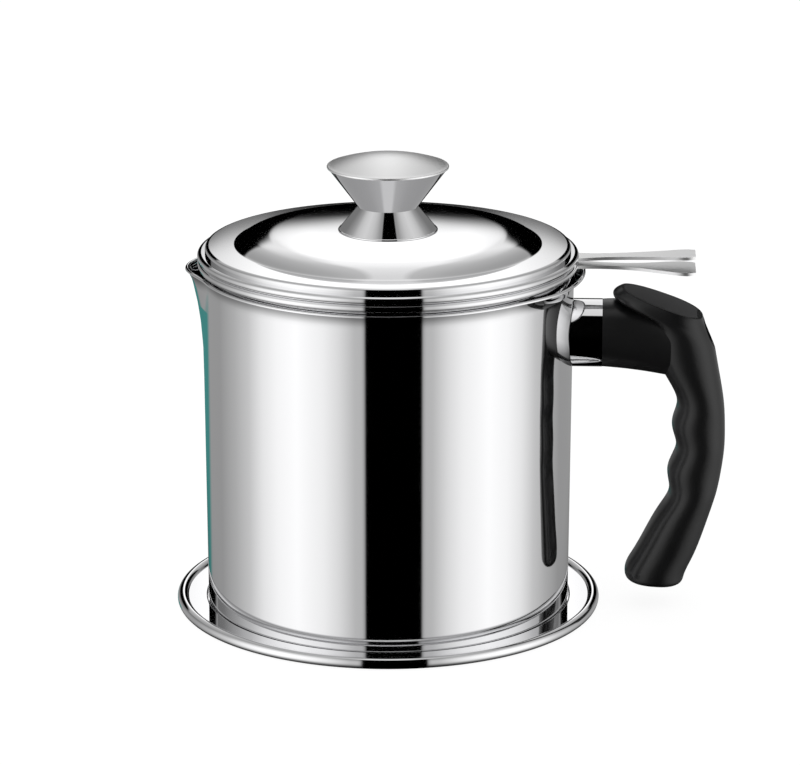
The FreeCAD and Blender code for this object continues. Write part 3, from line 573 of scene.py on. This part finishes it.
def mouth_swell(angle, height):
    """How far the mouth stands out for the pour spout and for the lip under the strainer tabs."""
    from_spout = abs(180 - angle)
    from_tabs = min(angle, 360 - angle)
    rise = min((height - (MOUTH_TOP - SPOUT_DROP)) / SPOUT_DROP, 1.0)
    out = 0.0
    if rise > 0:
        half = SPOUT_HALF_ANGLE * (SPOUT_FOOT_SHARE + (1 - SPOUT_FOOT_SHARE) * rise)
        if from_spout < half:
            out = SPOUT_REACH * rise ** SPOUT_GROWTH * (1 + math.cos(math.pi * from_spout / half)) / 2
    lip = min((height - FLARE_FOOT) / (MOUTH_TOP - FLARE_FOOT), 1.0)
    if lip > 0 and from_tabs < TAB_REST_HALF_ANGLE:
        out += TAB_REST_REACH * lip ** 2 * smooth_fade(2 * (1 - from_tabs / TAB_REST_HALF_ANGLE))
    return out


def make_pot():
    """Deep-drawn cup with a small flare, a pour spout and a rolled lip."""
    t, corner = SHEET, POT_CORNER
    bend = bow_radius(MOUTH_TOP - FLARE_FOOT, FLARE_REACH)
    lip = POT_TOP_RADIUS + FLARE_REACH
    wall_foot = POT_FOOT + corner
    wall_height = FLARE_FOOT - wall_foot
    levels = [FLARE_FOOT - wall_height * share for share in WALL_RINGS]
    slope = (POT_TOP_RADIUS - POT_BASE_RADIUS) / wall_height
    outside = [(POT_BASE_RADIUS + slope * (z - wall_foot), z) for z in levels]
    inside = [(radius - t, z) for radius, z in reversed(outside)]
    spun_piece("pot_cup_with_spout", [
        (0, POT_FOOT), (POT_BASE_RADIUS - corner, POT_FOOT), (POT_BASE_RADIUS, wall_foot, corner, 1),
        *outside,
        (POT_TOP_RADIUS, FLARE_FOOT), (lip, MOUTH_TOP, bend, -1),
        (lip + RIM_ROLL - t / 2, MOUTH_TOP, RIM_ROLL / 2, 1),
        (lip - RIM_ROLL - t / 2, MOUTH_TOP, RIM_ROLL, 1), (lip - t, MOUTH_TOP, RIM_ROLL / 2, 1),
        (POT_TOP_RADIUS - t, FLARE_FOOT, bend + t, 1),
        *inside,
        (POT_BASE_RADIUS - t, wall_foot), (POT_BASE_RADIUS - corner, POT_FOOT + t, corner - t, -1),
        (0, POT_FOOT + t),
    ], "pot", "pot_body", swell=mouth_swell)


def rolled_rim(wall, foot, top):
    """The steps of a rim rolled out, down and under, from its wall's outer to its inner face."""
    t, bead = SHEET, (top - foot) / 2
    middle, spine = foot + bead, RING_RADIUS - bead
    return [
        (wall, top - t), (spine, top - t), (RING_RADIUS - t, middle, bead - t, -1),
        (spine, foot + t, bead - t, -1), (spine - t, foot + t), (spine - t, foot), (spine, foot),
        (RING_RADIUS, middle, bead, 1), (spine, top, bead, 1), (wall - t, top),
    ]


def make_strainer_rims():
    """The fine strainer's straight collar, rolled over at the top; the mesh hangs inside it."""
    spun_piece("fine_rim_with_rolled_edge", [
        (COLLAR_RADIUS - SHEET, COLLAR_FOOT), (COLLAR_RADIUS, COLLAR_FOOT),
    ] + rolled_rim(COLLAR_RADIUS, FINE_FOOT, FINE_TOP), "fine_strainer", "fine_strainer_rim")


def make_lid():
    """Spun lid: a plain hem, a flat flange, a tight shoulder and a wide shallow crown."""
    t, edge = SHEET, LID_EDGE
    start = LID_RADIUS - LID_FLANGE_WIDTH
    lean_r = start - LID_FOOT_ROUND * math.sin(LID_LEAN)
    lean_z = LID_FLANGE + LID_FOOT_ROUND * (1 - math.cos(LID_LEAN))
    rim_r = lean_r - LID_SHOULDER * (math.sin(LID_LEAN) - math.sin(CROWN_RIM_LEAN))
    rim_z = lean_z + LID_SHOULDER * (math.cos(CROWN_RIM_LEAN) - math.cos(LID_LEAN))
    bend = (rim_r - CROWN_RADIUS) / (math.sin(CROWN_RIM_LEAN) - math.sin(CROWN_LEAN))
    crown_z = rim_z + bend * (math.cos(CROWN_LEAN) - math.cos(CROWN_RIM_LEAN))
    crown = (CROWN_RADIUS - CROWN_START) / math.sin(CROWN_LEAN)
    top = crown_z + crown * (1 - math.cos(CROWN_LEAN))
    hem = LID_FLANGE - LID_FLANGE_FALL
    spun_piece("lid_with_shallow_crown", [
        (SCREW_HOLE, top - t), (CROWN_START, top - t), (CROWN_RADIUS, crown_z - t, crown, -1),
        (rim_r, rim_z - t, bend, -1), (lean_r, lean_z - t, LID_SHOULDER, -1),
        (start, LID_FLANGE - t, LID_FOOT_ROUND, 1),
        (LID_RADIUS - edge, hem - t), (LID_RADIUS - t, hem - edge, edge - t, -1),
        (LID_RADIUS - t, COARSE_TOP), (LID_RADIUS, COARSE_TOP), (LID_RADIUS, hem - edge),
        (LID_RADIUS - edge, hem, edge, 1), (start, LID_FLANGE),
        (lean_r, lean_z, LID_FOOT_ROUND, -1), (rim_r, rim_z, LID_SHOULDER, 1),
        (CROWN_RADIUS, crown_z, bend, 1), (CROWN_START, top, crown, 1), (SCREW_HOLE, top),
    ], "lid", "lid_shell")


def make_knob():
    """Hollow spun knob: a cone foot, an upturned cup and a domed cap crimped over the cup's edge."""
    t, hole = KNOB_SHEET, SCREW_HOLE
    base_r, waist_r, rim_r = KNOB_BASE_RADIUS, KNOB_WAIST_RADIUS, KNOB_RIM_RADIUS
    spun_piece("knob_cone_foot", [
        (hole, KNOB_WAIST - t), (waist_r - t, KNOB_WAIST - t), (base_r - t * 2, KNOB_FOOT + t),
        (base_r - t * 2, KNOB_FOOT), (base_r - t / 2, KNOB_FOOT), (base_r, KNOB_FOOT + t / 2, t / 2, 1),
        (base_r - t / 2, KNOB_FOOT + t, t / 2, 1), (waist_r, KNOB_WAIST), (hole, KNOB_WAIST),
    ], "lid", "knob_base")
    spun_piece("knob_cup_shell", [
        (hole, KNOB_WAIST), (waist_r, KNOB_WAIST),
        (rim_r - t / 2, KNOB_RIM), (rim_r - t / 2 - CUP_WALL, KNOB_RIM), (waist_r - CUP_WALL, KNOB_WAIST + t),
        (hole, KNOB_WAIST + t),
    ], "lid", "knob_cup")
    dome = rim_r - CAP_EDGE
    rise = KNOB_TOP - KNOB_RIM - t
    spun_piece("knob_domed_cap", [
        (0, KNOB_TOP - t),
        (dome - t, KNOB_RIM + CAP_LIP, bow_radius(dome - t, rise - CAP_INSIDE_FALL), -1),
        (rim_r - CAP_LAP, KNOB_RIM), (rim_r - CAP_LIP, KNOB_RIM), (rim_r, KNOB_RIM + CAP_LIP, CAP_LIP, 1),
        (rim_r, KNOB_RIM + t - CAP_EDGE), (dome, KNOB_RIM + t, CAP_EDGE, 1),
        (0, KNOB_TOP, bow_radius(dome, rise), 1),
    ], "lid", "knob_cap", SATIN)
    # the crown shows the room and not a second, upside-down knob
    for name in KNOB_PIECES:
        bpy.data.objects[name].visible_glossy = False


# ---------------------------------------------------------------- perforated dish and woven basket

def new_tree(name, numbers):
    """An empty Geometry Nodes tree with a geometry socket at each end and a named number for each size."""
    tree = bpy.data.node_groups.new(name, "GeometryNodeTree")
    tree.interface.new_socket("Geometry", in_out="INPUT", socket_type="NodeSocketGeometry")
    for label, value in numbers.items():
        kind = "NodeSocketInt" if isinstance(value, int) else "NodeSocketFloat"
        tree.interface.new_socket(label, in_out="INPUT", socket_type=kind)
    tree.interface.new_socket("Geometry", in_out="OUTPUT", socket_type="NodeSocketGeometry")
    return tree, add_node(tree, "NodeGroupInput").outputs


def finish_tree(tree, geometry, material):
    real = add_node(tree, "GeometryNodeRealizeInstances", {0: geometry})
    dressed = add_node(tree, "GeometryNodeSetMaterial", {"Geometry": real, "Material": material})
    add_node(tree, "NodeGroupOutput", {0: dressed})


def grown(name, mesh, tree, numbers):
    """Runs a tree on a mesh and keeps the result as a plain mesh."""
    carrier = bpy.data.objects.new(name, mesh)
    bpy.context.scene.collection.objects.link(carrier)
    modifier = carrier.modifiers.new(name, "NODES")
    modifier.node_group = tree
    for item in tree.interface.items_tree:
        if item.in_out == "INPUT" and item.name in numbers:
            modifier[item.identifier] = numbers[item.name]
    bpy.context.view_layer.update()
    evaluated = carrier.evaluated_get(bpy.context.evaluated_depsgraph_get())
    result = bpy.data.meshes.new_from_object(evaluated)
    bpy.data.objects.remove(carrier)
    result.name = name
    return result


def perforation_tree(numbers):
    """Punches a hole in the middle and rings of round holes about it, six more in each ring.

    Rings 1 to k hold 3 k (k + 1) holes, so hole n is in ring (3 + root of (12 n - 3)) / 6, rounded down.
    """
    tree, given = new_tree("punched_rings", numbers)
    index = add_node(tree, "GeometryNodeInputIndex")
    square = add_node(tree, MATH, {0: index, 1: 12.0, 2: -3.0}, operation="MULTIPLY_ADD")
    positive = add_node(tree, MATH, {0: square, 1: 0.0}, operation="MAXIMUM")
    root = add_node(tree, MATH, {0: positive}, operation="SQRT")
    # the thousandth keeps each ring's first hole from being rounded into the ring before
    sixths = add_node(tree, MATH, {0: root, 1: 3.001}, operation="ADD")
    ring_share = add_node(tree, MATH, {0: sixths, 1: 6.0}, operation="DIVIDE")
    ring_number = add_node(tree, MATH, {0: ring_share}, operation="FLOOR")
    off_middle = add_node(tree, MATH, {0: index, 1: 0.5}, operation="GREATER_THAN")
    ring = add_node(tree, MATH, {0: ring_number, 1: off_middle}, operation="MULTIPLY")

    ring_before = add_node(tree, MATH, {0: ring, 1: 1.0}, operation="SUBTRACT")
    thrice = add_node(tree, MATH, {0: ring, 1: 3.0}, operation="MULTIPLY")
    holes_before = add_node(tree, MATH, {0: thrice, 1: ring_before}, operation="MULTIPLY")
    in_ring = add_node(tree, MATH, {0: index, 1: holes_before}, operation="SUBTRACT")
    place = add_node(tree, MATH, {0: in_ring, 1: 1.0}, operation="SUBTRACT")
    ring_holes = add_node(tree, MATH, {0: ring, 1: 6.0}, operation="MULTIPLY")
    parts = add_node(tree, MATH, {0: ring_holes, 1: 1.0}, operation="MAXIMUM")
    turns = add_node(tree, MATH, {0: place, 1: math.tau}, operation="MULTIPLY")
    turn = add_node(tree, MATH, {0: turns, 1: parts}, operation="DIVIDE")

    reach = add_node(tree, MATH, {0: ring, 1: given["Ring Pitch"]}, operation="MULTIPLY")
    cosine = add_node(tree, MATH, {0: turn}, operation="COSINE")
    sine = add_node(tree, MATH, {0: turn}, operation="SINE")
    x = add_node(tree, MATH, {0: reach, 1: cosine}, operation="MULTIPLY")
    y = add_node(tree, MATH, {0: reach, 1: sine}, operation="MULTIPLY")
    spot = add_node(tree, "ShaderNodeCombineXYZ", {"X": x, "Y": y, "Z": given["Floor Height"]})
    spots = add_node(tree, "GeometryNodePoints", {"Count": given["Hole Count"], "Position": spot})
    punch = add_node(tree, "GeometryNodeMeshCylinder", {
        "Vertices": given["Hole Sides"], "Radius": given["Hole Radius"], "Depth": given["Punch Length"]})
    punches = add_node(tree, "GeometryNodeInstanceOnPoints", {"Points": spots, "Instance": punch})
    solid = add_node(tree, "GeometryNodeRealizeInstances", {0: punches})
    cut = add_node(tree, "GeometryNodeMeshBoolean", {
        "Mesh 1": given["Geometry"], "Mesh 2": solid}, operation="DIFFERENCE", solver="EXACT")
    finish_tree(tree, cut, STEEL)
    return tree


def make_coarse_strainer():
    """Pressed dish with a rolled rim and a floor punched with rings of round holes."""
    t, bend = SHEET, DISH_CORNER
    blank = spun_mesh("coarse_dish_blank", [
        (0, DISH_FLOOR), (DISH_FLOOR_RADIUS - bend, DISH_FLOOR),
        (DISH_FLOOR_RADIUS, DISH_FLOOR + bend, bend, 1),
    ] + rolled_rim(DISH_RADIUS, FINE_TOP, COARSE_TOP) + [
        (DISH_FLOOR_RADIUS - t, DISH_FLOOR + bend), (DISH_FLOOR_RADIUS - bend, DISH_FLOOR + t, bend - t, -1),
        (0, DISH_FLOOR + t),
    ])
    numbers = {
        "Hole Count": 1 + 3 * HOLE_RINGS * (HOLE_RINGS + 1),
        "Hole Sides": HOLE_SIDES,
        "Hole Radius": HOLE_RADIUS * MM,
        "Ring Pitch": HOLE_RING_PITCH * MM,
        "Punch Length": PUNCH_LENGTH * MM,
        "Floor Height": (DISH_FLOOR + t / 2) * MM,
    }
    mesh = grown("coarse_dish_with_punched_floor", blank, perforation_tree(numbers), numbers)
    smooth_faces(mesh)
    place_piece("coarse_dish_with_punched_floor", mesh, STEEL, "coarse_strainer",
                "coarse_strainer_dish")


# the basket in millimetres; real wire cloth of this kind has a pitch near 1 mm, here coarser so that it shows
BASKET_FLOOR_RADIUS = 49.0
BASKET_RADIUS = 58.4
BASKET_FLOOR = 76.5
BASKET_TOP = 107.4
WIRE_PITCH = 2.2
WIRE_RADIUS = 0.24
WIRE_SIDES = 4
X_WAY = Vector((1.0, 0.0, 0.0))
Y_WAY = Vector((0.0, 1.0, 0.0))


def straight_wires(tree, run, step, start, end, first, copies):
    """Wires side by side before they are woven and bent, in units of the pitch, with two points to a pitch.

    Each goes along run from start to end, and they follow each other along step, beginning at first.
    """
    line = add_node(tree, "GeometryNodeCurvePrimitiveLine", {"Start": run * start, "End": run * end})
    fine = add_node(tree, "GeometryNodeResampleCurve", {"Curve": line, "Count": 2 * (end - start) + 1})
    row = add_node(tree, "GeometryNodeMeshLine", {
        "Count": copies, "Start Location": step * first, "Offset": step})
    laid = add_node(tree, "GeometryNodeInstanceOnPoints", {"Points": row, "Instance": fine})
    return add_node(tree, "GeometryNodeRealizeInstances", {0: laid})


def basket_tree(numbers, edge_wires, wall_rows, wall_wires):
    """Plain-weave wire basket: a flat woven floor, and a woven wall that widens up to the collar."""
    tree, given = new_tree("woven_basket", numbers)
    part = add_node(tree, "ShaderNodeSeparateXYZ", {0: add_node(tree, "GeometryNodeInputPosition")})
    x, y = part.outputs[0], part.outputs[1]

    # over and under: each wire rises and falls by its radius between the wires that it crosses
    x_angle = add_node(tree, MATH, {0: x, 1: math.pi}, operation="MULTIPLY")
    y_angle = add_node(tree, MATH, {0: y, 1: math.pi}, operation="MULTIPLY")
    x_wave = add_node(tree, MATH, {0: x_angle}, operation="COSINE")
    y_wave = add_node(tree, MATH, {0: y_angle}, operation="COSINE")
    wave = add_node(tree, MATH, {0: x_wave, 1: y_wave}, operation="MULTIPLY")
    weave = add_node(tree, MATH, {0: wave, 1: given["Wire Radius"]}, operation="MULTIPLY")

    # the floor: true size, cut off round
    floor_x = add_node(tree, MATH, {0: x, 1: given["Wire Pitch"]}, operation="MULTIPLY")
    floor_y = add_node(tree, MATH, {0: y, 1: given["Wire Pitch"]}, operation="MULTIPLY")
    x_square = add_node(tree, MATH, {0: floor_x, 1: floor_x}, operation="MULTIPLY")
    y_square = add_node(tree, MATH, {0: floor_y, 1: floor_y}, operation="MULTIPLY")
    squares = add_node(tree, MATH, {0: x_square, 1: y_square}, operation="ADD")
    reach = add_node(tree, MATH, {0: squares}, operation="SQRT")
    outside = add_node(tree, MATH, {0: reach, 1: given["Floor Radius"]}, operation="GREATER_THAN")

    # the wall: x goes round it and y up it
    turn = add_node(tree, MATH, {0: x, 1: math.tau / wall_wires}, operation="MULTIPLY")
    cosine = add_node(tree, MATH, {0: turn}, operation="COSINE")
    sine = add_node(tree, MATH, {0: turn}, operation="SINE")
    share = add_node(tree, MATH, {0: y, 1: float(wall_rows)}, operation="DIVIDE")
    wall_radius = add_node(tree, MATH, {
        0: share, 1: given["Widening"], 2: given["Floor Radius"]}, operation="MULTIPLY_ADD")
    wall_height = add_node(tree, MATH, {
        0: share, 1: given["Wall Height"], 2: given["Floor Height"]}, operation="MULTIPLY_ADD")

    woven = []
    for side, run, step, wall_end, wall_copies in (
            (1.0, X_WAY, Y_WAY, wall_wires, wall_rows + 1), (-1.0, Y_WAY, X_WAY, wall_rows, wall_wires)):
        lift = add_node(tree, MATH, {0: weave, 1: side}, operation="MULTIPLY")
        floor_height = add_node(tree, MATH, {0: lift, 1: given["Floor Height"]}, operation="ADD")
        floor_spot = add_node(tree, "ShaderNodeCombineXYZ", {0: floor_x, 1: floor_y, 2: floor_height})
        square_floor = straight_wires(
            tree, run, step, -edge_wires, edge_wires, -edge_wires, 2 * edge_wires + 1)
        round_floor = add_node(tree, "GeometryNodeDeleteGeometry", {
            "Geometry": square_floor, "Selection": outside}, domain="POINT")
        floor = add_node(tree, "GeometryNodeSetPosition", {"Geometry": round_floor, "Position": floor_spot})

        wide = add_node(tree, MATH, {0: wall_radius, 1: lift}, operation="ADD")
        wall_x = add_node(tree, MATH, {0: wide, 1: cosine}, operation="MULTIPLY")
        wall_y = add_node(tree, MATH, {0: wide, 1: sine}, operation="MULTIPLY")
        wall_spot = add_node(tree, "ShaderNodeCombineXYZ", {0: wall_x, 1: wall_y, 2: wall_height})
        flat_wall = straight_wires(tree, run, step, 0, wall_end, 0, wall_copies)
        wall = add_node(tree, "GeometryNodeSetPosition", {"Geometry": flat_wall, "Position": wall_spot})
        woven += [floor, wall]
    wires = add_node(tree, "GeometryNodeJoinGeometry")
    for item in reversed(woven):
        tree.links.new(item.outputs[0], wires.inputs[0])
    section = add_node(tree, "GeometryNodeCurvePrimitiveCircle", {
        "Radius": given["Wire Radius"], "Resolution": WIRE_SIDES})
    drawn = add_node(tree, "GeometryNodeCurveToMesh", {
        "Curve": wires, "Profile Curve": section, "Fill Caps": True})
    finish_tree(tree, drawn, WIRE)
    return tree


def make_basket():
    """Woven wire basket, in whole wires: from the floor's middle to its edge, up the wall and round it."""
    edge_wires = int(BASKET_FLOOR_RADIUS // WIRE_PITCH)
    wall_rows = int((BASKET_TOP - BASKET_FLOOR) // WIRE_PITCH)
    wall_wires = 2 * int(math.pi * BASKET_RADIUS / WIRE_PITCH)
    numbers = {
        "Wire Radius": WIRE_RADIUS * MM,
        "Wire Pitch": WIRE_PITCH * MM,
        "Floor Radius": BASKET_FLOOR_RADIUS * MM,
        "Widening": (BASKET_RADIUS - BASKET_FLOOR_RADIUS) * MM,
        "Floor Height": BASKET_FLOOR * MM,
        "Wall Height": (BASKET_TOP - BASKET_FLOOR) * MM,
    }
    tree = basket_tree(numbers, edge_wires, wall_rows, wall_wires)
    mesh = grown("woven_wire_basket", bpy.data.meshes.new("basket_seed"), tree, numbers)
    mesh.shade_smooth()
    place_piece("woven_wire_basket", mesh, WIRE, "fine_strainer", "fine_strainer_mesh")


# ---------------------------------------------------------------- dress the frame

FASTENERS = ["handle_screw", "handle_lock_washer", "handle_stud", "knob_screw", "knob_washer", "knob_nut"]


def dress(names, material):
    for name in names:
        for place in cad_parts[name].material_slots:
            place.material = material


make_camera()
make_world()
make_floor()
dress(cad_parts, STEEL)
dress(FASTENERS, fastener_steel())
dress(["handle_grip"], black_phenolic())
dress(["thumb_rest_inlay"], grey_inlay())
dress(["fine_strainer_tab", "coarse_strainer_tab"], SATIN)
make_tray()
make_pot()
make_strainer_rims()
make_coarse_strainer()
make_basket()
make_lid()
make_knob()

bpy.context.scene.view_settings.view_transform = "Standard"
